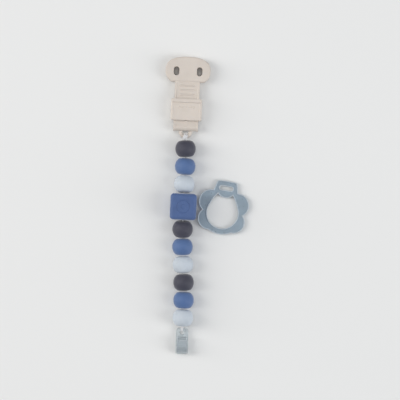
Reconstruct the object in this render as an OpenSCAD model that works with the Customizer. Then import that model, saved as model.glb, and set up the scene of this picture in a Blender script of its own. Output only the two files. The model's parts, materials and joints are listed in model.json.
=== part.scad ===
// Soother clip: a garment clip with a sliding collar, a string of silicone beads,
// a clear snap connector for the soother's ring, and a loose silicone adapter ring.
// Millimetres.  Origin: centre of the flat back of the clip's head.
// +Y runs to the head's tip, +X to the right seen from the front, +Z out of the front face.

/* [Clip] */
// Width of the clip's head
head_w = 33; // [31:0.5:35]
// Length of the clip's head along the clip
head_h = 18.4; // [17:0.2:20]
// Length of the neck between the head and the closed collar
neck_len = 12.5; // [11:0.5:14]
// Width of the two arms inside the collar
arm_w = 18.2; // [17:0.1:18.4]
// Thickness of the plain arms
arm_t = 2; // [1.8:0.1:2.1]
// Outer radius of the spring bend that joins the arms
bend_r = 3.5; // [3.5:0.1:3.7]
// Length of the sliding collar
collar_len = 15.7; // [14:0.1:16]
// Outer width of the sliding collar
collar_w = 22.7; // [22:0.1:24]
// Travel of the collar from closed to open
collar_travel = 8; // [7:0.5:8]
// Opening angle of the jaws at full collar travel
open_angle = 9; // [7:0.5:9]

/* [Beads] */
// Diameter of a round bead across the cord
bead_d = 15; // [14:0.5:15]
// Length of a round bead along the cord
bead_len = 12.7; // [12:0.1:12.7]
// Radius of the shallow dome at each end of a round bead
bead_dome_r = 18; // [15:1:18]
// Edge length of the cube bead
cube_side = 19.2; // [18:0.2:19.2]
// Bore radius through every bead
bore_r = 1.3; // [1.3:0.05:1.5]
// Radius of one strand of the doubled cord
strand_r = 0.6; // [0.5:0.05:0.6]

/* [Connector] */
// Width of the clear connector
connector_w = 8.9; // [8:0.1:10]
// Distance from the eye's bar to the flap's hinge bar
connector_len = 14.8; // [14.8:0.1:15.2]
// Clear height inside the closed connector
connector_gap = 5.1; // [5.1:0.1:5.4]

/* [Adapter ring] */
// Thickness of the adapter ring at its rims
adapter_t = 3; // [2.6:0.1:3.4]
// Place of the adapter ring's centre to the right of the clip's middle line
adapter_x = 29.6; // [29.6:0.2:36]
// Place of the adapter ring's centre below the clip's head
adapter_y = -104; // [-110:0.5:-98]
// Turn of the adapter ring as it lies, seen from the front
adapter_turn = -7; // [-9:1:0]

/* [Hidden] */
$fn = 64;
// Beads on the string, and which of them is the cube
bead_count = 10;
cube_index = 4;

// Colours, as on the real object
clip_beige = [0.83, 0.80, 0.77];
dark_silicone = [0.29, 0.30, 0.35];
blue_silicone = [0.36, 0.46, 0.62];
light_silicone = [0.76, 0.79, 0.82];
cube_silicone = [0.31, 0.40, 0.56];
cord_white = [0.85, 0.85, 0.86];
clear_plastic = [0.85, 0.88, 0.90, 0.4];
adapter_silicone = [0.52, 0.58, 0.63, 0.7];

// Running gap between the collar and the arms
slide_gap = 0.15;
// Overlap that keeps a cutting tool clear of the face that it opens
over = 0.1;

// Clip: heights above the flat back, then places along the clip
rear_arm_z = 1.4;
bend_z = rear_arm_z + bend_r;
arm_top_z = rear_arm_z + 2 * bend_r;
rear_head_t = 2.8;
front_head_z = 4.2;
front_head_t = 3.2;
collar_top = -head_h / 2 - neck_len;
collar_end = collar_top - collar_len;
bend_y = -42;
cavity_w = arm_w + 2 * slide_gap;
cavity_z = [rear_arm_z - slide_gap, arm_top_z + slide_gap];
collar_lift = 0.1;
collar_front_wall = 1.35;
collar_z = [collar_lift, arm_top_z + collar_front_wall];
// Thumb lip on the collar: length along the clip, height above the face
collar_lip = [2.7, 0.85];
// Rails along both edges of the front arm and of the bend, with a sunk band between them
rail_w = 1.4;
rail_depth = 0.35;
// Head outline: a superellipse, cut off flat at its lower side
head_power = 2.5;
head_cut = 1.1;
// Step round the head's faces: how far back, how deep
head_edge = [0.5, 0.4];
// Vents: width and length, and the place of the right one's centre
vent = [4.1, 6.5];
vent_at = [8.45, -1.5];
tooth_h = 0.9;
tooth_w = 12.6;
tooth_pitch = 2.4;
// Teeth on each head: place of the first row from the head's middle, number of rows
rear_teeth = [6.1, 6];
front_teeth = [4.9, 5];

// Cord arch, a round bar bent to a U, at the bottom of the clip
arch_set_back = 3.45;
arch_y = bend_y - arch_set_back;
arch_z = 3.9;
arch_r = 3.7;
arch_bar_r = 1.35;
arch_leg = 3;
bar_y = arch_y - arch_r;

// String of beads, from the clip downwards.  Each link is one bead's length of cord.
// The yaw swings a link to the right, the tilt lifts its lower end, in degrees.
chain_start = [0, -51.7, 7.52];
link_yaw = [5, -2, 1, 0, 1, 3, 5, 4, 1, -1];
link_tilt = [0, 0, 10, 0, -10, 0, 0, 0, 0, 0];
link_gap = [0.3, 0.3, 0.4, 0.6, 0.6, 0.4, 0.3, 0.3, 0.3, 0.3, 0.3];
// Sharpness of the edge between a bead's round side and its end domes
bead_edge = 24;
bead_colours = [dark_silicone, blue_silicone, light_silicone, cube_silicone, dark_silicone,
                blue_silicone, light_silicone, dark_silicone, blue_silicone, light_silicone];
// Each length of cord stops this far short of the middle of the gap
cord_cut = 0.12;
cube_round = 2.6;
// Sunk motif on the cube: outer and inner radius of the ring and of the dot, and the depth
cube_motif = [[5, 4.3], [1.6, 0]];
motif_depth = 0.35;

// Connector, hung on the eye's bar and resting its other end on the table
eye_drop = [0, -1.9, -3.9];
connector_tilt = 11;
connector_yaw = 1.5;
connector_t = 1.3;
plate_end = 3;
plate_corner = 2.6;
eye_bar = 0.9;
eye_y = -2.4;
eye_r = 1.5;
boss_r = 2.4;
boss_rise = 0.5;
flap_t = 1.15;
flap_end_y = -5.3;
flap_wall = 1.2;
flap_end_w = 6.1;
flap_root_w = 8.2;
barrel_r = 3;
barrel_w = 7;
barrel_z = connector_t / 2 + connector_gap + flap_t - barrel_r;
hinge_bar_r = 1.2;
hinge_gap = 0.08;

function is_cube(i) = i == cube_index;
function bead_name(i) = is_cube(i) ? "cube_bead" : str("bead_", i);
function body_len(i) = is_cube(i) ? cube_side : bead_len;
function link_len(i) = link_gap[i - 1] / 2 + body_len(i) + link_gap[i] / 2;
function link_dir(i) = [sin(link_yaw[i - 1]) * cos(link_tilt[i - 1]),
                        -cos(link_yaw[i - 1]) * cos(link_tilt[i - 1]),
                        sin(link_tilt[i - 1])];
// Point midway in the gap under link i; gap 0 is the one above the first bead
function gap_point(i) = i == 0 ? chain_start : gap_point(i - 1) + link_len(i) * link_dir(i);
chain_end = gap_point(bead_count);
eye_point = chain_end + eye_drop;

// Half length of a round bead at the side angle a: the lower of the round side and the dome
function bead_half_len(a) =
    let (side = bead_d / 2 * sin(a), end = bead_len / 2 - pow(bead_d / 2 * cos(a), 2) / 2 / bead_dome_r)
    side * end / pow(pow(side, bead_edge) + pow(end, bead_edge), 1 / bead_edge);

// Superellipse of full size w by h, n is its power
function oval(w, h, n, steps) =
    [for (k = [0:steps - 1]) let (a = 360 * k / steps, c = cos(a), s = sin(a))
        [w / 2 * sign(c) * pow(abs(c), 2 / n), h / 2 * sign(s) * pow(abs(s), 2 / n)]];

// Height of the front arm's outer face.  Under the collar it is a cam: as the collar slides
// down, its top edge lets the arm swing open in step with the slide.
cam_rate = open_angle * PI / 180 / collar_travel;
function cam_z(y) = arm_top_z - cam_rate * (y - bend_y) * (collar_top - y);

module head_outline(grow = 0) {
    intersection() {
        translate([0, -head_cut])
            polygon(oval(head_w + 2 * grow, head_h + 2 * head_cut + 2 * grow, head_power, 72));
        translate([-head_w, -head_h / 2 - grow])
            square([2 * head_w, 2 * head_h]);
    }
}

// One half of the head, t thick, its outer edge stepped back at one face or at both
module head_plate(t, steps) {
    difference() {
        union() {
            translate([0, 0, steps[0] * head_edge[1]])
                linear_extrude(t - (steps[0] + steps[1]) * head_edge[1]) head_outline();
            linear_extrude(t) head_outline(-head_edge[0]);
        }
        vent_holes();
    }
}

module vent_holes() {
    deep = 2 * head_edge[0] + front_head_t;
    straight = vent.y - vent.x;
    for (side = [-1, 1])
        translate([side * vent_at.x, vent_at.y, deep / 2 - head_edge[0]]) {
            for (end = [-1, 1])
                translate([0, end * straight / 2, 0])
                    cylinder(r = vent.x / 2, h = deep, center = true);
            cube([vent.x, straight, deep], center = true);
        }
}

// Plate whose side profile is a polygon of [y, z] points, w wide across the clip
module across(points, w) {
    rotate([90, 0, 90])
        translate([0, 0, -w / 2])
            linear_extrude(w) polygon(points);
}

// Rows of teeth across the head, from rows[0] downwards; up is 1 or -1
module teeth(rows, base_z, up) {
    root = 0.6;
    tip = 0.15;
    for (k = [0:rows[1] - 1]) {
        y = rows[0] - k * tooth_pitch;
        across([[y - root, base_z], [y + root, base_z], [y + tip, base_z + up * tooth_h],
                [y - tip, base_z + up * tooth_h]], tooth_w);
    }
}

module rear_jaw() {
    head_low = -head_h / 2;
    slope_top = head_low - 3;
    slope_foot = collar_top + 0.5;
    color(clip_beige) {
        head_plate(rear_head_t, [0, 1]);
        // The plain arm, which slopes down to the flat back of the head
        across([[bend_y, rear_arm_z], [slope_foot, rear_arm_z], [slope_top, 0],
                [head_low + over, 0], [head_low + over, rear_head_t],
                [slope_top, rear_head_t], [slope_foot, rear_arm_z + arm_t],
                [bend_y, rear_arm_z + arm_t]], arm_w);
        teeth(rear_teeth, rear_head_t - over, 1);
    }
}

// Half ring between two radii round the bend's centre, on its lower side, w wide
module half_ring(outer, inner, w) {
    translate([0, bend_y, bend_z])
        rotate([0, 90, 0])
            translate([0, 0, -w / 2])
                linear_extrude(w)
                    difference() {
                        circle(outer);
                        circle(inner);
                        translate([-2 * bend_r, 0])
                            square(4 * bend_r);
                    }
}

module spring_bend() {
    color(clip_beige)
        difference() {
            half_ring(bend_r, bend_r - arm_t, arm_w);
            half_ring(bend_r + 1, bend_r - rail_depth, arm_w - 2 * rail_w);
        }
}

module cord_arch() {
    color(clip_beige)
        difference() {
            translate([0, arch_y, arch_z]) {
                rotate([0, 0, 180])
                    rotate_extrude(angle = 180)
                        translate([arch_r, 0]) circle(arch_bar_r, $fn = 32);
                for (side = [-1, 1])
                    translate([side * arch_r, 0, 0])
                        rotate([-90, 0, 0])
                            cylinder(r = arch_bar_r, h = arch_leg, $fn = 32);
            }
            translate([0, bend_y, bend_z])
                rotate([0, 90, 0])
                    cylinder(r = bend_r - rail_depth, h = arm_w, center = true);
        }
}

module front_jaw() {
    head_low = -head_h / 2;
    head_top = front_head_z + front_head_t;
    steps = 14;
    cam = [for (k = [0:steps]) bend_y + (collar_top - bend_y) * k / steps];
    // The neck's faces meet the head this far below and above the head's own faces
    neck_below = 0.5;
    neck_above = 0.2;
    neck_root = head_low - 4;
    band_below = 0.8;
    band_end = head_low - 0.6;
    clear_z = 2 * head_top;
    rib_pitch = 3.3;
    rib_r = 0.55;
    rib_w = 10.4;
    rib_sink = 0.75;
    neck_slope = 0.1;
    pip_r = 1;
    pip_y = collar_end - 0.9;
    color(clip_beige) {
        translate([0, 0, front_head_z]) head_plate(front_head_t, [1, 1]);
        // The arm under the collar, with its cam face, and the neck up to the head
        difference() {
            across(concat([for (y = cam) [y, cam_z(y)]],
                          [[head_low + over, head_top - neck_below],
                           [head_low + over, front_head_z], [neck_root, front_head_z + neck_above]],
                          [for (k = [steps:-1:0]) [cam[k], cam_z(cam[k]) - arm_t]]), arm_w);
            across(concat([for (y = cam) [y - (y == bend_y ? over : 0), cam_z(y) - rail_depth]],
                          [[band_end, head_top - band_below], [band_end, clear_z],
                           [bend_y - over, clear_z]]),
                   arm_w - 2 * rail_w);
        }
        // Grip ribs on the neck, which slopes down to the head
        for (k = [0:2])
            translate([0, collar_top + 3 + rib_pitch * k,
                       arm_top_z - rib_sink - neck_slope * rib_pitch * k])
                rotate([0, 90, 0])
                    cylinder(r = rib_r, h = rib_w, center = true, $fn = 24);
        // Detent pip just below the closed collar
        translate([0, pip_y, cam_z(pip_y) - pip_r / 2])
            sphere(r = pip_r, $fn = 32);
        teeth(front_teeth, front_head_z + over, -1);
    }
}

module collar() {
    face_drop = 0.35;
    rim_w = 1.4;
    inset = 0.5;
    corner = 1.2;
    dot_r = 0.6;
    dot_pitch = 2.7;
    dot_y = 0.6 * collar_len;
    face_z = collar_z[1] - face_drop;
    color(clip_beige)
        translate([0, collar_end, 0])
            difference() {
                intersection() {
                    union() {
                        rounded_bar(collar_w, [collar_z[0], face_z], corner, collar_len);
                        // Raised rims along both sides of the front face
                        for (side = [-1, 1])
                            translate([side * (collar_w / 2 - rim_w / 2 - inset) - rim_w / 2, 0,
                                       face_z - over])
                                cube([rim_w, collar_len, face_drop + over]);
                        // Thumb lip along the top edge
                        translate([-collar_w / 2 + inset, collar_len - collar_lip[0], face_z - over])
                            cube([collar_w - 2 * inset, collar_lip[0],
                                  face_drop + collar_lip[1] + over]);
                        // Row of plain raised dots
                        for (k = [-2:2])
                            translate([dot_pitch * k, dot_y, face_z - over])
                                cylinder(r = dot_r, h = face_drop + over, $fn = 24);
                    }
                    // Rounds the four corners seen from the front
                    linear_extrude(2 * collar_z[1])
                        rounded_rectangle(collar_w, collar_len, corner);
                }
                translate([-cavity_w / 2, -1, cavity_z[0]])
                    cube([cavity_w, collar_len + 2, cavity_z[1] - cavity_z[0]]);
            }
}

// Rectangle with rounded corners, w by h, standing on the X axis
module rounded_rectangle(w, h, r) {
    translate([-w / 2 + r, 0]) square([w - 2 * r, h]);
    translate([-w / 2, r]) square([w, h - 2 * r]);
    for (x = [-w / 2 + r, w / 2 - r], y = [r, h - r])
        translate([x, y]) circle(r, $fn = 32);
}

// Bar along +Y with rounded long edges, w wide, between the two heights z
module rounded_bar(w, z, r, len) {
    translate([0, len, z[0]])
        rotate([90, 0, 0])
            linear_extrude(len) rounded_rectangle(w, z[1] - z[0], r);
}

// Moves its children to the upper end of link i, local -Y running down the cord
module on_link(i) {
    translate(gap_point(i - 1))
        rotate([-link_tilt[i - 1], 0, link_yaw[i - 1]])
            children();
}

// Section of two strands side by side, merged where they touch
module strand_pair() {
    merged_w = 1.2 * strand_r;
    for (side = [-1, 1])
        translate([0, side * strand_r]) circle(strand_r, $fn = 24);
    square([merged_w, 2 * strand_r], center = true);
}

// Doubled cord along Y between two places
module doubled_cord(from, to) {
    translate([0, from, 0])
        rotate([90, 0, 0])
            linear_extrude(from - to) strand_pair();
}

module bead_cord(i) {
    color(cord_white)
        on_link(i) doubled_cord(-cord_cut, cord_cut - link_len(i));
}

module bead(i) {
    steps = 16;
    color(bead_colours[i - 1])
        on_link(i)
            translate([0, -link_gap[i - 1] / 2 - body_len(i) / 2, 0])
                rotate([90, 0, 0])
                    difference() {
                        if (is_cube(i))
                            cube_body();
                        else
                            rotate_extrude($fn = 72)
                                polygon([for (k = [-steps:steps])
                                    let (a = 90 * k / steps)
                                    [bead_d / 2 * cos(a), sign(a) * bead_half_len(abs(a))]]);
                        cylinder(r = bore_r, h = 2 * cube_side, center = true);
                    }
}

// Cube with rounded edges and a plain ring-and-dot motif sunk into its front face
module cube_body() {
    flat = cube_side - 2 * cube_round;
    difference() {
        union() {
            for (turn = [[0, 0, 0], [90, 0, 0], [0, 90, 0]])
                rotate(turn) {
                    cube([flat, flat, cube_side], center = true);
                    for (x = [-1, 1], y = [-1, 1])
                        translate([x * flat / 2, y * flat / 2, 0])
                            cylinder(r = cube_round, h = flat, center = true, $fn = 32);
                }
            for (x = [-1, 1], y = [-1, 1], z = [-1, 1])
                translate([x, y, z] * flat / 2) sphere(r = cube_round, $fn = 32);
        }
        for (ring = cube_motif)
            translate([0, cube_side / 2 - motif_depth, 0])
                rotate([-90, 0, 0])
                    difference() {
                        cylinder(r = ring[0], h = 1);
                        if (ring[1] > 0)
                            translate([0, 0, -1]) cylinder(r = ring[1], h = 3);
                    }
    }
}

// Doubled turn of cord round the arch, gathered in a knot above it
module top_cord_loop() {
    turn_r = 2.05;
    knot_r = 1.7;
    knot_at = [0, bar_y - 0.25, arch_z + 3];
    tail = 1;
    color(cord_white) {
        translate([0, bar_y, arch_z])
            rotate([0, 90, 0])
                rotate_extrude($fn = 48)
                    translate([turn_r, 0]) strand_pair();
        translate(knot_at) sphere(r = knot_r, $fn = 40);
        translate([0, chain_start.y, chain_start.z])
            doubled_cord(tail, cord_cut);
    }
}

// Moves its children to the eye's bar, local -Y running down the connector
module on_connector() {
    translate(eye_point)
        rotate([connector_tilt, 0, connector_yaw])
            children();
}

// The cord's lower turn, through the connector's eye and back up to the last bead
module bottom_cord_loop() {
    turn_r = 1.75;
    stem_start = 1.3;
    fall = atan2(-eye_drop.z, -eye_drop.y);
    color(cord_white) {
        translate(eye_point)
            rotate([0, 90, connector_yaw])
                rotate_extrude($fn = 48) translate([turn_r, 0]) circle(strand_r, $fn = 24);
        translate(chain_end)
            rotate([fall, 0, 0])
                rotate([0, 90, 0])
                    doubled_cord(-stem_start, turn_r - norm(eye_drop) + over);
    }
}

module connector_base() {
    cheek_w = (connector_w - barrel_w) / 2 - hinge_gap;
    cheek_r = 2.6;
    cord_groove = 1.6;
    slot_end = 2;
    color(clear_plastic)
        on_connector() {
            difference() {
                union() {
                    translate([-connector_w / 2, -connector_len, -connector_t / 2])
                        cube([connector_w, connector_len + eye_bar - plate_end, connector_t]);
                    translate([0, eye_bar - plate_end, 0]) end_plate();
                    translate([0, eye_y, 0])
                        cylinder(r = boss_r, h = connector_t / 2 + boss_rise);
                }
                translate([0, eye_y, 0])
                    cylinder(r = eye_r, h = 4 * connector_t, center = true);
                // Groove in the boss, where the cord passes over the eye's bar
                translate([-cord_groove / 2, eye_y + eye_r - 2 * over, connector_t / 2])
                    cube([cord_groove, boss_r, 2 * boss_rise]);
                // Slot under the flap's barrel
                translate([-barrel_w / 2 - hinge_gap, -connector_len - slot_end, 0])
                    cube([barrel_w + 2 * hinge_gap, barrel_r + slot_end + 2 * over, barrel_r]);
            }
            // Cheeks that carry the hinge bar
            for (side = [-1, 1])
                translate([side * (connector_w / 2 - cheek_w / 2), 0, 0]) {
                    translate([0, -connector_len, barrel_z])
                        rotate([0, 90, 0])
                            cylinder(r = cheek_r, h = cheek_w, center = true);
                    translate([-cheek_w / 2, -connector_len, -connector_t / 2])
                        cube([cheek_w, cheek_r, barrel_z + connector_t / 2]);
                }
            translate([0, -connector_len, barrel_z])
                rotate([0, 90, 0])
                    cylinder(r = hinge_bar_r, h = connector_w - 2 * over, center = true);
        }
}

// Upper end of the connector's plate, with rounded corners beside the eye
module end_plate() {
    straight = connector_w / 2 - plate_corner;
    root = 2;
    translate([0, 0, -connector_t / 2])
        linear_extrude(connector_t) {
            for (side = [-1, 1])
                translate([side * straight, plate_end - plate_corner]) circle(plate_corner);
            translate([-straight, 0]) square([2 * straight, plate_end]);
            translate([-connector_w / 2, -root])
                square([connector_w, root + plate_end - plate_corner]);
        }
}

module connector_flap() {
    top_z = barrel_z + barrel_r;
    root_y = barrel_r - connector_len;
    flare = 0.6;
    ridge_r = 0.4;
    ridge_pitch = 1.3;
    foot_gap = 0.1;
    color(clear_plastic)
        on_connector() {
            // Barrel that turns on the base's hinge bar
            difference() {
                union() {
                    translate([0, -connector_len, barrel_z])
                        rotate([0, 90, 0])
                            cylinder(r = barrel_r, h = barrel_w, center = true);
                    translate([0, 0, top_z - flap_t])
                        linear_extrude(flap_t)
                            polygon([[-barrel_w / 2, -connector_len],
                                     [barrel_w / 2, -connector_len],
                                     [barrel_w / 2, root_y],
                                     [flap_root_w / 2, root_y + flare],
                                     [flap_end_w / 2, flap_end_y],
                                     [-flap_end_w / 2, flap_end_y],
                                     [-flap_root_w / 2, root_y + flare],
                                     [-barrel_w / 2, root_y]]);
                }
                translate([0, -connector_len, barrel_z])
                    rotate([0, 90, 0])
                        cylinder(r = hinge_bar_r + hinge_gap, h = barrel_w + 2, center = true);
            }
            // Foot at the free end, which closes the loop behind the eye's boss
            translate([-flap_end_w / 2, flap_end_y - flap_wall, connector_t / 2 + foot_gap])
                cube([flap_end_w, flap_wall, top_z - connector_t / 2 - 2 * foot_gap]);
            // Two finger ridges across the free end
            for (k = [0, 1])
                translate([0, flap_end_y - flap_wall / 2 - ridge_pitch * k, top_z])
                    rotate([0, 90, 0])
                        cylinder(r = ridge_r, h = flap_end_w - ridge_r, center = true, $fn = 24);
        }
}

// Adapter ring outline.  A circle on each side is given as [x, y, radius].
upper_lobe = [9.7, 7.1, 8.9];
lower_lobe = [9.2, -5.4, 8.25];
low_arc_r = 17.8;
low_arc_y = 2;
low_arc_w = 16.8;
band_r = 13.5;
// Opening: a circle below, two large arcs above, and the tongue that hangs into their point
opening_r = 11.35;
point_arc = [16.35, -3.97, 28];
tongue_y = 18.7;
tongue_r = 7.5;

// Circle given as [x, y, radius], grown by g, and its mirror image
module circle_pair(c, g) {
    for (side = [-1, 1])
        translate([side * c[0], c[1]]) circle(c[2] + g);
}

// Tab of the adapter ring, grown outwards by g: wide at the root, rounded at both top corners
module ring_tab(g) {
    corner = [5.5, 21.3];
    corner_r = 2.35 + g;
    root = [9.4 + g, 15];
    root_inside = 12;
    crown = 23.9 + g;
    right = concat([[root.x, root_inside], root],
                   [for (a = [0:15:75]) corner + corner_r * [cos(a), sin(a)]]);
    left = [for (k = [len(right) - 1:-1:0]) [-right[k].x, right[k].y]];
    polygon(concat(right, [[0, crown]], left));
}

// Adapter ring outline, grown outwards by g: two lobes on each side, a flat arc, and the tab
module ring_outer(g) {
    circle_pair(upper_lobe, g);
    circle_pair(lower_lobe, g);
    intersection() {
        translate([0, low_arc_y]) circle(low_arc_r + g);
        translate([-low_arc_w / 2, -low_arc_r - low_arc_y]) square([low_arc_w, low_arc_r]);
    }
    ring_tab(g);
    circle(band_r);
}

// Adapter ring opening, grown outwards by g: round below, a pointed arch above, and a round
// tongue that hangs into the point
module ring_inner(g) {
    difference() {
        union() {
            circle(opening_r + g);
            intersection() {
                pointed_arch(point_arc.x, point_arc.y, point_arc.z + g);
                translate([-band_r, 0]) square([2 * band_r, tongue_y]);
            }
        }
        translate([0, tongue_y]) circle(tongue_r - g);
    }
}

// Overlap of two large circles, their centres x to each side and at height y
module pointed_arch(x, y, r) {
    intersection() {
        translate([-x, y]) circle(r, $fn = 96);
        translate([x, y]) circle(r, $fn = 96);
    }
}

module slot_hole(g) {
    half_len = 3.5;
    half_h = 1.35;
    slot_y = 18.3;
    for (side = [-1, 1])
        translate([side * half_len, slot_y]) circle(half_h + g, $fn = 24);
    translate([-half_len, slot_y - half_h - g]) square([2 * half_len, 2 * (half_h + g)]);
}

module adapter_ring() {
    rim = 0.7;
    dish = 0.45;
    lift = 0.02;
    translate([adapter_x, adapter_y, 0])
        rotate([0, 0, adapter_turn])
            color(adapter_silicone)
                difference() {
                    translate([0, 0, lift]) linear_extrude(adapter_t - lift) ring_outer(0);
                    translate([0, 0, -1]) linear_extrude(adapter_t + 2) ring_inner(0);
                    translate([0, 0, -1]) linear_extrude(adapter_t + 2) slot_hole(0);
                    // Dished face between the raised rims
                    translate([0, 0, adapter_t - dish])
                        linear_extrude(1)
                            difference() {
                                ring_outer(-rim);
                                ring_inner(rim);
                                slot_hole(rim);
                            }
                }
}

rear_jaw();
spring_bend();
cord_arch();
front_jaw();
collar();
top_cord_loop();
for (i = [1:bead_count]) {
    bead(i);
    bead_cord(i);
}
bottom_cord_loop();
connector_base();
connector_flap();
adapter_ring();
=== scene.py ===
"""Visual model of a soother clip: beige garment clip, bead string, clear connector and adapter ring.

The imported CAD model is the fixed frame.  All lengths are in metres.
"""

import json
import math

import bmesh
import bpy
from mathutils import Matrix, Vector


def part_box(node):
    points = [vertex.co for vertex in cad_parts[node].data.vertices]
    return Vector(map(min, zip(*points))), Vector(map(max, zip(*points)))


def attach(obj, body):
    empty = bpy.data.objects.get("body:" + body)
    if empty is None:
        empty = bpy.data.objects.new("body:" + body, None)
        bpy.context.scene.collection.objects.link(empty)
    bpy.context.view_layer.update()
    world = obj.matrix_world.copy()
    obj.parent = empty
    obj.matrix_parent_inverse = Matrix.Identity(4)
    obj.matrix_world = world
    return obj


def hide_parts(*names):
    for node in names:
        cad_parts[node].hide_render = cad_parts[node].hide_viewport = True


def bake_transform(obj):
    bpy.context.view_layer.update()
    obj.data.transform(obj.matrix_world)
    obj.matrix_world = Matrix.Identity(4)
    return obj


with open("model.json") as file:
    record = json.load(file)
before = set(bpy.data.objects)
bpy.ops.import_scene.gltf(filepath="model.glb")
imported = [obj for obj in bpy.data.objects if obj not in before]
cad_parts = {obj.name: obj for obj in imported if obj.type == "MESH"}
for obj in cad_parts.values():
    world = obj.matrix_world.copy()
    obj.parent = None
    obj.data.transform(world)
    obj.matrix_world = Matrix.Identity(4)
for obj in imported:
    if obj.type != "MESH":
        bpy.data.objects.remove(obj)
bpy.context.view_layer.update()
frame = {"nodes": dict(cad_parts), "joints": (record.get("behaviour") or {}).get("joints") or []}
MM = 0.001
UP = Vector((0, 0, 1))
JOINTS = {joint["name"]: joint for joint in frame["joints"]}
BEAD_COUNT = 10  # the fourth is the cube


def joint_place(name):
    """Rest position of a hinge, in the row frame."""
    return Vector(JOINTS[name]["pos_m"])


def joint_axis(name):
    """Direction of a joint's axis, in the row frame."""
    return Vector(JOINTS[name]["axis"])


def link_mesh(name, mesh):
    """A new object for the mesh, in the scene."""
    made = bpy.data.objects.new(name, mesh)
    bpy.context.scene.collection.objects.link(made)
    return made


def link_grid(name, grid):
    """A new object for the bmesh, which is freed."""
    mesh = bpy.data.meshes.new(name)
    grid.to_mesh(mesh)
    grid.free()
    return link_mesh(name, mesh)


# ---------------------------------------------------------------- camera and light

VIEW_WIDTH = 0.2927  # width of what the picture shows, at the object
CAMERA_HEIGHT = 1.6
CAMERA_ROLL = math.radians(2.5)  # the clip leans to the right in the picture
SENSOR = 36.0  # width of the camera's sensor in millimetres, as Blender counts it
VIEW_CENTRE = Vector((0.0128, -0.0952, 0.0075))


def add_camera():
    """A long lens straight above the part, as it lies on the floor."""
    data = bpy.data.cameras.new("camera")
    data.sensor_width = SENSOR
    data.lens = SENSOR * CAMERA_HEIGHT / VIEW_WIDTH
    data.clip_start = 0.05
    camera = bpy.data.objects.new("camera", data)
    camera.location = VIEW_CENTRE + UP * CAMERA_HEIGHT
    camera.rotation_euler = (0, 0, CAMERA_ROLL)
    bpy.context.scene.collection.objects.link(camera)
    bpy.context.scene.camera = camera


# Name, place, width and length, power in watts, colour
LIGHTS = (
    ("soft_box_left", (-2.2, 0.18, 1.45), (1.1, 2.9), 51.0, (1, 0.985, 0.96)),
    ("soft_box_right", (2.2, -0.50, 1.30), (1.1, 2.9), 39.5, (0.97, 0.985, 1)),
    ("soft_fill", (0.0, 0.15, 1.3), (0.8, 0.8), 3.0, (1, 1, 1)),
)
LIGHT_TARGET = Vector((0.01, -0.1, 0))
SKY_COLOUR = (0.92, 0.95, 1.0, 1)
SKY_STRENGTH = 0.30


def add_area_light(name, place, size, power, colour):
    """A rectangular light that faces the middle of the part."""
    data = bpy.data.lights.new(name, "AREA")
    data.shape = "RECTANGLE"
    data.size = size[0]
    data.size_y = size[1]
    data.energy = power
    data.color = colour
    light = bpy.data.objects.new(name, data)
    light.location = place
    direction = LIGHT_TARGET - Vector(place)
    light.rotation_euler = direction.to_track_quat("-Z", "Y").to_euler()
    bpy.context.scene.collection.objects.link(light)


def add_lights():
    """Two tall soft boxes beside the part, a weak fill from above and a pale sky."""
    for light in LIGHTS:
        add_area_light(*light)
    world = bpy.data.worlds.new("studio")
    world.use_nodes = True
    background = world.node_tree.nodes["Background"]
    set_sockets(background, {"Color": SKY_COLOUR, "Strength": SKY_STRENGTH})
    bpy.context.scene.world = world


FLOOR_HALF = 8
FLOOR_DROP = 0.2 * MM  # below the part, so that no surfaces coincide
FLOOR_COLOUR = (0.80, 0.80, 0.79)


def add_floor():
    """A plain pale sheet under the part."""
    mesh = bpy.data.meshes.new("floor")
    low, high = -FLOOR_HALF, FLOOR_HALF
    corners = [(low, low, 0), (high, low, 0), (high, high, 0), (low, high, 0)]
    mesh.from_pydata(corners, [], [(0, 1, 2, 3)])
    floor = link_mesh("floor", mesh)
    floor.location = (0, LIGHT_TARGET.y, -FLOOR_DROP)
    floor.data.materials.append(plain_material("floor_paper", FLOOR_COLOUR, 0.75))


# ---------------------------------------------------------------- materials


def new_material(name):
    """A material, its node tree and its Principled shader."""
    made = bpy.data.materials.new(name)
    made.use_nodes = True
    tree = made.node_tree
    return made, tree, tree.nodes["Principled BSDF"]


def set_sockets(node, values):
    """Gives a node's sockets their constant values."""
    for socket, value in values.items():
        node.inputs[socket].default_value = value


def plain_material(name, colour, roughness):
    """One colour and one roughness, for the floor."""
    made, _, shader = new_material(name)
    set_sockets(shader, {"Base Color": (*colour, 1), "Roughness": roughness})
    return made


def noise(tree, coordinates, scale, detail):
    """Noise texture in object space; scale is features per metre."""
    node = tree.nodes.new("ShaderNodeTexNoise")
    set_sockets(node, {"Scale": scale, "Detail": detail})
    tree.links.new(coordinates, node.inputs["Vector"])
    return node.outputs["Fac"]


def object_coordinates(tree):
    """Places on the piece in its own frame, in metres."""
    return tree.nodes.new("ShaderNodeTexCoord").outputs["Object"]


def ramp(tree, factor, stops):
    """Colour ramp; stops are (position, colour) pairs."""
    node = tree.nodes.new("ShaderNodeValToRGB")
    elements = node.color_ramp.elements
    while len(elements) < len(stops):
        elements.new(0.5)
    for element, (position, colour) in zip(elements, stops):
        element.position = position
        element.color = (*colour, 1)
    tree.links.new(factor, node.inputs["Fac"])
    return node.outputs["Color"]


def map_range(tree, value, low, high):
    """Spreads the middle of a noise, where nearly all of it lies, over a range."""
    node = tree.nodes.new("ShaderNodeMapRange")
    set_sockets(node, {"From Min": 0.3, "From Max": 0.7, "To Min": low, "To Max": high})
    tree.links.new(value, node.inputs["Value"])
    return node.outputs["Result"]


def mix_colours(tree, factor, first, second):
    """From the linked colour first to the constant colour second."""
    mix = tree.nodes.new("ShaderNodeMix")
    mix.data_type = "RGBA"
    tree.links.new(factor, mix.inputs["Factor"])
    tree.links.new(first, mix.inputs["A"])
    set_sockets(mix, {"B": (*second, 1)})
    return mix.outputs["Result"]


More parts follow.
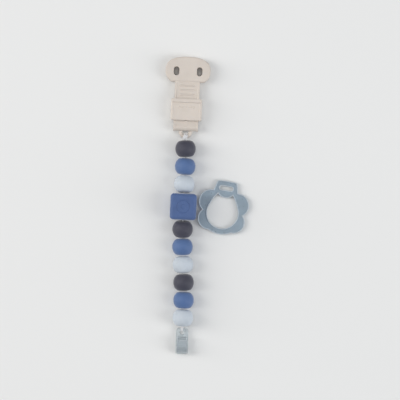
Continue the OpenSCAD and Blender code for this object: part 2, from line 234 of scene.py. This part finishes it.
def bump(tree, height, distance, strength, normal=None):
    """Surface relief of a noise, on top of another relief if one is given."""
    node = tree.nodes.new("ShaderNodeBump")
    set_sockets(node, {"Distance": distance, "Strength": strength})
    tree.links.new(height, node.inputs["Height"])
    if normal is not None:
        tree.links.new(normal, node.inputs["Normal"])
    return node.outputs["Normal"]


def shade(colour, factor):
    """The same colour, darker or lighter."""
    return tuple(min(1, channel * factor) for channel in colour)


def moulded_plastic(name, colour):
    """Matte injection-moulded plastic: spark-eroded grain, faint flow marks, uneven gloss."""
    made, tree, shader = new_material(name)
    at = object_coordinates(tree)
    tone = noise(tree, at, 90, 3)
    stops = [(0.3, shade(colour, 0.955)), (0.5, colour), (0.72, shade(colour, 1.03))]
    tree.links.new(ramp(tree, tone, stops), shader.inputs["Base Color"])
    gloss = noise(tree, at, 420, 3)
    tree.links.new(map_range(tree, gloss, 0.44, 0.56), shader.inputs["Roughness"])
    grain = noise(tree, at, 5200, 2)
    flow = noise(tree, at, 260, 2)
    normal = bump(tree, grain, 0.00004, 0.22)
    tree.links.new(bump(tree, flow, 0.0002, 0.10, normal), shader.inputs["Normal"])
    fixed = {
        "Specular IOR Level": 0.45,
        "Subsurface Weight": 0.08,
        "Subsurface Radius": (0.0009, 0.0007, 0.0005),
    }
    set_sockets(shader, fixed)
    return made


def matte_silicone(name, colour, dust, sheen=0.35):
    """Soft-touch silicone: powdery sheen, fine grain, a few pale specks of lint."""
    made, tree, shader = new_material(name)
    at = object_coordinates(tree)
    tone = noise(tree, at, 160, 4)
    stops = [(0.28, shade(colour, 0.93)), (0.5, colour), (0.74, shade(colour, 1.05))]
    body = ramp(tree, tone, stops)
    lint = noise(tree, at, 1500, 2)
    mask = ramp(tree, lint, [(0.735, (0, 0, 0)), (0.80, (1, 1, 1))])
    tree.links.new(mix_colours(tree, mask, body, dust), shader.inputs["Base Color"])
    gloss = noise(tree, at, 700, 3)
    tree.links.new(map_range(tree, gloss, 0.52, 0.66), shader.inputs["Roughness"])
    grain = noise(tree, at, 6500, 2)
    tree.links.new(bump(tree, grain, 0.00003, 0.25), shader.inputs["Normal"])
    fixed = {
        "Sheen Weight": sheen,
        "Sheen Roughness": 0.45,
        "Specular IOR Level": 0.35,
        "Subsurface Weight": 0.06,
        "Subsurface Radius": (0.0008, 0.0009, 0.0011),
    }
    set_sockets(shader, fixed)
    return made


# Per-vertex share of the painted highlight on the adapter ring's raised rims
RIM_HIGHLIGHT_ATTRIBUTE = "painted_rim_highlight"


def translucent_silicone(name, colour, rim_highlight_colour):
    """Milky grey-blue silicone, with a painted highlight along the raised rims."""
    made, tree, shader = new_material(name)
    at = object_coordinates(tree)
    tone = noise(tree, at, 120, 4)
    stops = [(0.3, shade(colour, 0.9)), (0.5, colour), (0.72, shade(colour, 1.1))]
    # Painted highlight: a lighter colour mixed in where the attribute marks the raised rims
    rim = tree.nodes.new("ShaderNodeAttribute")
    rim.attribute_name = RIM_HIGHLIGHT_ATTRIBUTE
    body = ramp(tree, tone, stops)
    mixed = mix_colours(tree, rim.outputs["Fac"], body, rim_highlight_colour)
    tree.links.new(mixed, shader.inputs["Base Color"])
    gloss = noise(tree, at, 500, 3)
    tree.links.new(map_range(tree, gloss, 0.26, 0.38), shader.inputs["Roughness"])
    grain = noise(tree, at, 1800, 2)
    tree.links.new(bump(tree, grain, 0.00005, 0.12), shader.inputs["Normal"])
    fixed = {
        "IOR": 1.41,
        "Transmission Weight": 0.22,
        "Subsurface Weight": 0.25,
        "Subsurface Radius": (0.0012, 0.0014, 0.0016),
    }
    set_sockets(shader, fixed)
    return made


def clear_plastic(name):
    """Clear moulded plastic with faint flow lines and uneven gloss."""
    made, tree, shader = new_material(name)
    at = object_coordinates(tree)
    gloss = noise(tree, at, 600, 3)
    tree.links.new(map_range(tree, gloss, 0.10, 0.20), shader.inputs["Roughness"])
    flow = noise(tree, at, 420, 3)
    tree.links.new(bump(tree, flow, 0.0002, 0.10), shader.inputs["Normal"])
    fixed = {
        "Base Color": (0.80, 0.85, 0.88, 1),
        "IOR": 1.45,
        "Transmission Weight": 0.80,
    }
    set_sockets(shader, fixed)
    return made


def braided_cord(name, colour):
    """White polyester braid: crossing diagonal yarns, with painted shade in the grooves between
    them.
    """
    made, tree, shader = new_material(name)
    at = object_coordinates(tree)
    heights = []
    for turn in (0.7, -0.7):
        spin = tree.nodes.new("ShaderNodeMapping")
        set_sockets(spin, {"Rotation": (turn, 0, turn)})
        tree.links.new(at, spin.inputs["Vector"])
        wave = tree.nodes.new("ShaderNodeTexWave")
        wave.bands_direction = "Y"
        set_sockets(wave, {"Scale": 900, "Distortion": 0.6})
        tree.links.new(spin.outputs["Vector"], wave.inputs["Vector"])
        heights.append(wave.outputs["Fac"])
    weave = tree.nodes.new("ShaderNodeMath")
    weave.operation = "MAXIMUM"
    tree.links.new(heights[0], weave.inputs[0])
    tree.links.new(heights[1], weave.inputs[1])
    # Painted shade: the braid's grooves, where the weave is low, are coloured darker
    stops = [(0.2, shade(colour, 0.80)), (0.8, colour)]
    tree.links.new(ramp(tree, weave.outputs[0], stops), shader.inputs["Base Color"])
    tree.links.new(bump(tree, weave.outputs[0], 0.00012, 0.6), shader.inputs["Normal"])
    set_sockets(shader, {"Roughness": 0.62, "Sheen Weight": 0.3})
    return made


# Linear colours of the real object
BEIGE = (0.640, 0.575, 0.515)
SLATE = (0.052, 0.052, 0.074)
BLUE = (0.083, 0.150, 0.320)
CUBE_BLUE = (0.068, 0.120, 0.275)
PALE = (0.530, 0.580, 0.635)
RING_GREY = (0.330, 0.415, 0.490)
# Painted highlight colour for the adapter ring's raised rims
RING_RIM_HIGHLIGHT = (0.620, 0.680, 0.730)
CORD_WHITE = (0.80, 0.80, 0.81)

MATERIALS = {
    "clip_plastic": moulded_plastic("clip_plastic", BEIGE),
    "silicone_dark": matte_silicone("silicone_dark", SLATE, (0.16, 0.16, 0.19)),
    "silicone_blue": matte_silicone("silicone_blue", BLUE, (0.22, 0.32, 0.50)),
    "silicone_light": matte_silicone("silicone_light", PALE, (0.66, 0.70, 0.74), 0.2),
    "silicone_cube": matte_silicone("silicone_cube", CUBE_BLUE, (0.24, 0.33, 0.52)),
    "adapter_silicone": translucent_silicone("adapter_silicone", RING_GREY, RING_RIM_HIGHLIGHT),
    "clear_plastic": clear_plastic("clear_plastic"),
    "cord": braided_cord("cord", CORD_WHITE),
}


# ---------------------------------------------------------------- mesh helpers

MERGE_DISTANCE = 0.001 * MM
CUT_TOLERANCE = 0.0001 * MM


def smooth_faces(mesh):
    """Shades every face of the mesh smooth."""
    mesh.polygons.foreach_set("use_smooth", [True] * len(mesh.polygons))


def add_object(name, vertices, faces):
    """A smooth-shaded piece from its vertices and faces."""
    mesh = bpy.data.meshes.new(name)
    mesh.from_pydata([tuple(vertex) for vertex in vertices], [], faces)
    mesh.validate()
    smooth_faces(mesh)
    return link_mesh(name, mesh)


def finish_piece(piece, slot, nodes, body=None):
    """Gives a piece its material and slot, and puts it in the place of its CAD nodes."""
    piece.data.materials.clear()
    piece.data.materials.append(MATERIALS[slot])
    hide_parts(*nodes)
    if body:
        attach(piece, body)


def cad_copy(name, nodes):
    """One new mesh object that holds copies of several CAD nodes."""
    grid = bmesh.new()
    for node in nodes:
        grid.from_mesh(frame["nodes"][node].data)
    bmesh.ops.remove_doubles(grid, verts=grid.verts, dist=MERGE_DISTANCE)
    return link_grid(name, grid)


def apply_modifiers(piece):
    """Replaces the piece's mesh by what its modifiers make of it."""
    graph = bpy.context.evaluated_depsgraph_get()
    result = bpy.data.meshes.new_from_object(piece.evaluated_get(graph))
    piece.modifiers.clear()
    old = piece.data
    piece.data = result
    bpy.data.meshes.remove(old)


def soften(piece, voxel, rounds, keep=1.0):
    """Gives hard CAD edges the small radii of a moulding: fine remesh, smooth, thin out."""
    remesh = piece.modifiers.new("remesh", "REMESH")
    remesh.mode = "VOXEL"
    remesh.voxel_size = voxel
    remesh.use_smooth_shade = True
    smooth = piece.modifiers.new("smooth", "SMOOTH")
    smooth.factor = 0.5
    smooth.iterations = rounds
    if keep < 1:
        thin = piece.modifiers.new("thin", "DECIMATE")
        thin.ratio = keep
    apply_modifiers(piece)
    smooth_faces(piece.data)
    return piece


def keep_side(piece, point, normal):
    """Cuts the piece with a plane, drops what lies in front of it and closes the cut."""
    grid = bmesh.new()
    grid.from_mesh(piece.data)
    everything = grid.verts[:] + grid.edges[:] + grid.faces[:]
    cut = bmesh.ops.bisect_plane(
        grid,
        geom=everything,
        dist=CUT_TOLERANCE,
        plane_co=point,
        plane_no=normal,
        clear_outer=True,
    )
    rim = [item for item in cut["geom_cut"] if isinstance(item, bmesh.types.BMEdge)]
    bmesh.ops.holes_fill(grid, edges=rim, sides=0)
    grid.to_mesh(piece.data)
    grid.free()


def frame_along(direction):
    """Rotation whose local Z runs along direction and whose local Y stays close to world Z."""
    z = direction.normalized()
    x = UP.cross(z).normalized()
    y = z.cross(x)
    return Matrix((x, y, z)).transposed()


def revolve(profile, angles):
    """Vertices and faces of a closed (radius, height) profile turned round local Z."""
    vertices = []
    for angle in angles:
        c, s = math.cos(angle), math.sin(angle)
        for radius, height in profile:
            vertices.append(Vector((radius * c, radius * s, height)))
    rows, count = len(angles), len(profile)
    faces = []
    for a in range(rows):
        b = (a + 1) % rows
        for k in range(count):
            n = (k + 1) % count
            faces.append((a * count + k, b * count + k, b * count + n, a * count + n))
    return vertices, faces


# Rounded end of a tube: (share of the radius, distance past the end in radii)
TUBE_END = ((0.72, 0.42), (0.3, 0.57))
STEEP = 0.9  # height part of a unit direction above which UP is too close to it


def tube(points, radius, sides=12):
    """Closed tube round a list of points, with rounded ends."""
    first = (points[1] - points[0]).normalized()
    last = (points[-1] - points[-2]).normalized()
    rings = []
    for scale, past in reversed(TUBE_END):
        rings.append((points[0] - first * radius * past, first, scale))
    for index, point in enumerate(points):
        before = points[max(index - 1, 0)]
        after = points[min(index + 1, len(points) - 1)]
        rings.append((point, (after - before).normalized(), 1.0))
    for scale, past in TUBE_END:
        rings.append((points[-1] + last * radius * past, last, scale))
    vertices, faces = [], []
    not_along = UP if abs(first.z) < STEEP else Vector((1, 0, 0))
    side_axis = not_along.cross(first).normalized()
    for centre, tangent, scale in rings:
        side_axis = (side_axis - tangent * side_axis.dot(tangent)).normalized()
        other = tangent.cross(side_axis)
        for k in range(sides):
            angle = 2 * math.pi * k / sides
            offset = side_axis * math.cos(angle) + other * math.sin(angle)
            vertices.append(centre + offset * radius * scale)
    for ring in range(len(rings) - 1):
        for k in range(sides):
            n = (k + 1) % sides
            a, b = ring * sides, (ring + 1) * sides
            faces.append((a + k, a + n, b + n, b + k))
    faces.append(tuple(range(sides))[::-1])
    faces.append(tuple((len(rings) - 1) * sides + k for k in range(sides)))
    return vertices, faces


def joined(parts):
    """Several (vertices, faces) pairs as one."""
    vertices, faces = [], []
    for part_vertices, part_faces in parts:
        start = len(vertices)
        vertices += part_vertices
        faces += [tuple(start + k for k in face) for face in part_faces]
    return vertices, faces


# ---------------------------------------------------------------- the clip

CLIP_VOXEL = 0.16 * MM
CLIP_ROUNDS = 5
CLIP_KEEP = 0.4
BEND_OVERLAP = 4 * MM  # how far the bend runs up the arms while it is softened
BEND_CENTRE = joint_place("jaw_open")


def build_clip():
    """The clip's one moulding, as two arms and a bend that meet without a seam."""
    up_clip = Vector((0, 1, 0))
    arms = (
        ("clip_rear_arm", "rear_jaw", "clip_rear"),
        ("clip_front_arm", "front_jaw", "clip_front"),
    )
    for name, node, body in arms:
        arm = cad_copy(name, [node, "spring_bend"])
        soften(arm, CLIP_VOXEL, CLIP_ROUNDS, CLIP_KEEP)
        keep_side(arm, BEND_CENTRE, -up_clip)
        finish_piece(arm, "clip_plastic", [node], body)
    moulding = ["rear_jaw", "front_jaw", "spring_bend", "cord_arch"]
    bend = cad_copy("clip_bend", moulding)
    keep_side(bend, BEND_CENTRE + up_clip * BEND_OVERLAP, up_clip)
    soften(bend, CLIP_VOXEL, CLIP_ROUNDS)
    keep_side(bend, BEND_CENTRE, up_clip)
    finish_piece(bend, "clip_plastic", ["spring_bend", "cord_arch"])
    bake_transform(bend)
    collar = soften(cad_copy("sliding_collar", ["collar"]), CLIP_VOXEL, CLIP_ROUNDS, CLIP_KEEP)
    finish_piece(collar, "clip_plastic", ["collar"], "collar")


# ---------------------------------------------------------------- beads

BEAD_LENGTH = 12.7 * MM
DOME_RADIUS = 18 * MM  # the shallow dome at each end
EDGE_SHARPNESS = 24  # of the edge between the round side and the dome
BORE = 1.3 * MM
MOUTH = 0.5 * MM  # rounding of the bore's mouth
MOULD_LINE_HEIGHT = 0.035 * MM
MOULD_LINE_HALF_WIDTH = 0.02  # radians
BEAD_SIDES = 96
COLOURS = {
    1: "dark",
    2: "blue",
    3: "light",
    5: "dark",
    6: "blue",
    7: "light",
    8: "dark",
    9: "blue",
    10: "light",
}


def bead_radius():
    """Radius of a round bead, from the CAD."""
    low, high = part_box("bead_1")
    return (high.z - low.z) / 2


def half_length(outer, angle):
    """Half the bead's length at a side angle: the lower of the round side and the dome."""
    side = outer * math.sin(angle)
    dome_drop = (outer * math.cos(angle)) ** 2 / (2 * DOME_RADIUS)
    end = BEAD_LENGTH / 2 - dome_drop
    scale = max(side, end)
    blend = (side / scale) ** EDGE_SHARPNESS + (end / scale) ** EDGE_SHARPNESS
    return side * end / scale / blend ** (1 / EDGE_SHARPNESS)


def bead_profile(outer):
    """Closed outline: outside of the bead, rounded mouths, and the bore's wall."""
    steps = 24
    rounding = 5
    last = math.acos((BORE + MOUTH) / outer)
    outside = []
    for k in range(-steps, steps + 1):
        angle = last * k / steps
        height = math.copysign(half_length(outer, abs(angle)), -angle)
        outside.append((outer * math.cos(angle), height))
    end_height = outside[0][1]
    mouth = []
    for k in range(1, rounding + 1):
        angle = math.pi / 2 * k / rounding
        radius = BORE + MOUTH * (1 - math.sin(angle))
        mouth.append((radius, end_height - MOUTH * (1 - math.cos(angle))))
    lower = [(radius, -height) for radius, height in mouth]
    upper = [(radius, height) for radius, height in reversed(mouth)]
    return outside + lower + upper


def bead_angles():
    """Steps round the bead, closer together at the two mould lines."""
    plain = [2 * math.pi * k / BEAD_SIDES for k in range(BEAD_SIDES)]
    shifts = [step * MOULD_LINE_HALF_WIDTH for step in (-2, -1, 1, 2)]
    fine = [side + shift for side in (0, math.pi) for shift in shifts]
    return sorted({round(angle % (2 * math.pi), 6) for angle in plain + fine})


def build_bead(index):
    """One round bead with its mould line, on its own length of cord."""
    outer = bead_radius()
    profile = bead_profile(outer)
    angles = bead_angles()
    vertices, faces = revolve(profile, angles)
    for k, vertex in enumerate(vertices):
        angle = angles[k // len(profile)]
        away = min(angle % math.pi, math.pi - angle % math.pi)
        rise = MOULD_LINE_HEIGHT * math.exp(-((away / MOULD_LINE_HALF_WIDTH) ** 2))
        radius = math.hypot(vertex.x, vertex.y)
        if radius > BORE + MOUTH:
            vertex.x *= 1 + rise / radius
            vertex.y *= 1 + rise / radius
    name = f"bead_{index}"
    turn = frame_along(joint_axis(f"{name}_spin"))
    centre = joint_place(f"{name}_spin")
    placed = [centre + turn @ vertex for vertex in vertices]
    bead = add_object(f"silicone_bead_{index}", placed, faces)
    finish_piece(bead, f"silicone_{COLOURS[index]}", [name], f"{name}_body")


CUBE_ROUND = 2.6 * MM
CUBE_GRID = 116  # cuts along each edge
CUBE_PIT = 1.4 * MM  # how deep the bore's mouths are drawn in
MOTIF_DEPTH = 0.30 * MM
MOTIF_BLUR = 0.22 * MM
MOTIF_RING = (4.3 * MM, 5.0 * MM)
MOTIF_DOT = 1.6 * MM
ON_FACE = 0.999  # of the unit cube


def smooth_step(low, high, value):
    """0 below low, 1 above high, and smooth between."""
    t = min(1, max(0, (value - low) / (high - low)))
    return t * t * (3 - 2 * t)


def motif(radius):
    """Depth share of the sunk ring and dot at a distance from the face's centre."""
    edges = (*MOTIF_RING, MOTIF_DOT)
    inner, outer, dot = (smooth_step(r - MOTIF_BLUR, r + MOTIF_BLUR, radius) for r in edges)
    return inner - outer + 1 - dot


def build_cube():
    """Cube bead with rounded edges, a sunk motif on its front and the bore's two mouths."""
    low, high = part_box("cube_bead")
    half = (high.z - low.z) / 2
    core = half - CUBE_ROUND
    grid = bmesh.new()
    bmesh.ops.create_cube(grid, size=2)
    bmesh.ops.subdivide_edges(grid, edges=grid.edges[:], cuts=CUBE_GRID, use_grid_fill=True)
    turn = frame_along(joint_axis("cube_spin"))
    centre = joint_place("cube_spin")
    for vertex in grid.verts:
        point = vertex.co * half
        inner = Vector([max(-core, min(core, value)) for value in point])
        placed = inner + (point - inner).normalized() * CUBE_ROUND
        if vertex.co.y > ON_FACE:
            placed.y -= MOTIF_DEPTH * motif(math.hypot(placed.x, placed.z))
        if abs(vertex.co.z) > ON_FACE:
            from_axis = math.hypot(placed.x, placed.y)
            pit = 1 - smooth_step(BORE, BORE + MOUTH, from_axis)
            placed.z -= math.copysign(CUBE_PIT * pit, placed.z)
        vertex.co = centre + turn @ placed
    cube = link_grid("silicone_cube", grid)
    smooth_faces(cube.data)
    finish_piece(cube, "silicone_cube", ["cube_bead"], "cube_body")


# ---------------------------------------------------------------- the cord

STRAND = 0.6 * MM  # radius of one strand of the doubled cord
SLIM_STRAND = STRAND * 0.98  # where it passes close to a bar or an eye
STRAND_NEST = 0.93  # how close the twisted strands lie, in radii from their middle
TWIST_LENGTH = 9 * MM
TWIST_STEP = 0.8 * MM
TWISTED_SIDES = 10
CORD_CUT = 0.12 * MM
CORD_INSET = CORD_CUT + STRAND * 0.6  # of a length's last full ring from its hinge
# The cord's turns, with their angles in degrees
TOP_TURN = {"radius": 2.05 * MM, "first": -250, "last": 70, "steps": 36}
EYE_TURN = {"radius": 1.75 * MM, "first": 0, "last": 360, "steps": 48}
KNOT_FROM_BAR = Vector((0, -0.25, 3)) * MM
KNOT_STEM = Vector((0, 0.2, 0)) * MM
# The knot's wraps: (place across the cord, radius)
KNOT_WRAPS = ((-0.95 * MM, 0.92 * MM), (0.0, 1.08 * MM), (0.95 * MM, 0.92 * MM))
KNOT_LEAN = 0.28 * MM
KNOT_STEPS = 32
STEM_GAPS = (0.75 * MM, 1.85 * MM)  # below the last hinge, and before the eye's centre


def twisted_pair(start, end, radius=STRAND):
    """Two strands laid round each other from start to end."""
    along = end - start
    turn = frame_along(along)
    steps = max(6, round(along.length / TWIST_STEP))
    parts = []
    for phase in (0.5 * math.pi, 1.5 * math.pi):
        points = []
        for k in range(steps + 1):
            share = k / steps
            angle = phase + 2 * math.pi * along.length * share / TWIST_LENGTH
            offset = Vector((math.cos(angle), math.sin(angle), 0)) * radius * STRAND_NEST
            points.append(start + along * share + turn @ offset)
        parts.append(tube(points, radius, TWISTED_SIDES))
    return joined(parts)


def build_cord():
    """One length of the doubled cord through each bead."""
    for index in range(1, BEAD_COUNT + 1):
        top = joint_place(f"cord_bend_{index}")
        bottom = joint_place(f"cord_bend_{index + 1}")
        along = (bottom - top).normalized()
        inset = along * CORD_INSET
        strands = twisted_pair(top + inset, bottom - inset)
        length = add_object(f"cord_length_{index}", *strands)
        finish_piece(length, "cord", [f"cord_{index}"], f"link_{index}")


def turn_round(centre, across, side, radius, first, last, steps):
    """Arc of cord centre line round a bar; across is the bar's direction, side a shift along it."""
    forward = UP.cross(across).normalized()
    points = []
    for k in range(steps + 1):
        angle = math.radians(first + (last - first) * k / steps)
        offset = forward * math.cos(angle) + UP * math.sin(angle)
        points.append(centre + offset * radius + across * side)
    return points


def knot_wrap(centre, place, radius):
    """One slanted wrap of the barrel knot round the standing strands."""
    points = []
    for k in range(KNOT_STEPS + 1):
        angle = 2 * math.pi * k / KNOT_STEPS
        c, s = math.cos(angle), math.sin(angle)
        points.append(centre + Vector((place + KNOT_LEAN * c, radius * c, radius * s)))
    return tube(points, STRAND)


def build_top_loop():
    """The cord's doubled turn round the arch and the knot that holds it."""
    across = Vector((1, 0, 0))
    bar = joint_place("cord_top_swing")
    top = joint_place("cord_bend_1")
    parts = []
    for side in (-SLIM_STRAND, SLIM_STRAND):
        parts.append(tube(turn_round(bar, across, side, **TOP_TURN), SLIM_STRAND))
    knot = bar + KNOT_FROM_BAR
    for place, radius in KNOT_WRAPS:
        parts.append(knot_wrap(knot, place, radius))
    parts.append(twisted_pair(knot + KNOT_STEM, top + Vector((0, CORD_INSET, 0))))
    loop = add_object("cord_knot_top", *joined(parts))
    finish_piece(loop, "cord", ["top_cord_loop"], "cord_top")


def build_bottom_loop():
    """The cord's turn through the connector's eye."""
    across = -joint_axis("connector_swing")
    eye = joint_place("connector_swing")
    end = joint_place(f"cord_bend_{BEAD_COUNT + 1}")
    ring = tube(turn_round(eye, across, 0, **EYE_TURN), STRAND)
    toward = (eye - end).normalized()
    below_hinge, before_eye = STEM_GAPS
    stem = twisted_pair(end + toward * below_hinge, eye - toward * before_eye, SLIM_STRAND)
    loop = add_object("cord_loop_bottom", *joined([ring, stem]))
    finish_piece(loop, "cord", ["bottom_cord_loop"], "cord_bottom")


# ---------------------------------------------------------------- connector and ring

CLEAR_VOXEL = 0.10 * MM
CLEAR_ROUNDS = 4
RING_VOXEL = 0.18 * MM
RING_ROUNDS = 6
HALF_OF_FACES = 0.5
DISH_DEPTH = 0.45 * MM


def build_connector():
    """The clear plate with the eye, and the flap that opens."""
    pieces = (
        ("connector_plate", "connector_base", "connector"),
        ("connector_clasp", "connector_flap", "flap"),
    )
    for name, node, body in pieces:
        piece = soften(cad_copy(name, [node]), CLEAR_VOXEL, CLEAR_ROUNDS, HALF_OF_FACES)
        finish_piece(piece, "clear_plastic", [node], body)


def build_adapter():
    """The adapter ring; its rims stand above the dished face and are marked for a painted highlight.
    """
    ring = cad_copy("adapter_flower", ["adapter_ring"])
    soften(ring, RING_VOXEL, RING_ROUNDS, HALF_OF_FACES)
    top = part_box("adapter_ring")[1].z
    # Painted highlight share: full on the raised rims, none down in the dish
    highlight_weights = ring.data.attributes.new(RIM_HIGHLIGHT_ATTRIBUTE, "FLOAT", "POINT")
    for vertex, highlight_weight in zip(ring.data.vertices, highlight_weights.data):
        height = vertex.co.z - top
        highlight_weight.value = smooth_step(-0.9 * DISH_DEPTH, -0.25 * DISH_DEPTH, height)
    finish_piece(ring, "adapter_silicone", ["adapter_ring"], "adapter")


# ---------------------------------------------------------------- everything

add_camera()
build_clip()
for bead_index in COLOURS:
    build_bead(bead_index)
build_cube()
build_cord()
build_top_loop()
build_bottom_loop()
build_connector()
build_adapter()
add_floor()
add_lights()
bpy.context.scene.view_settings.view_transform = "Standard"
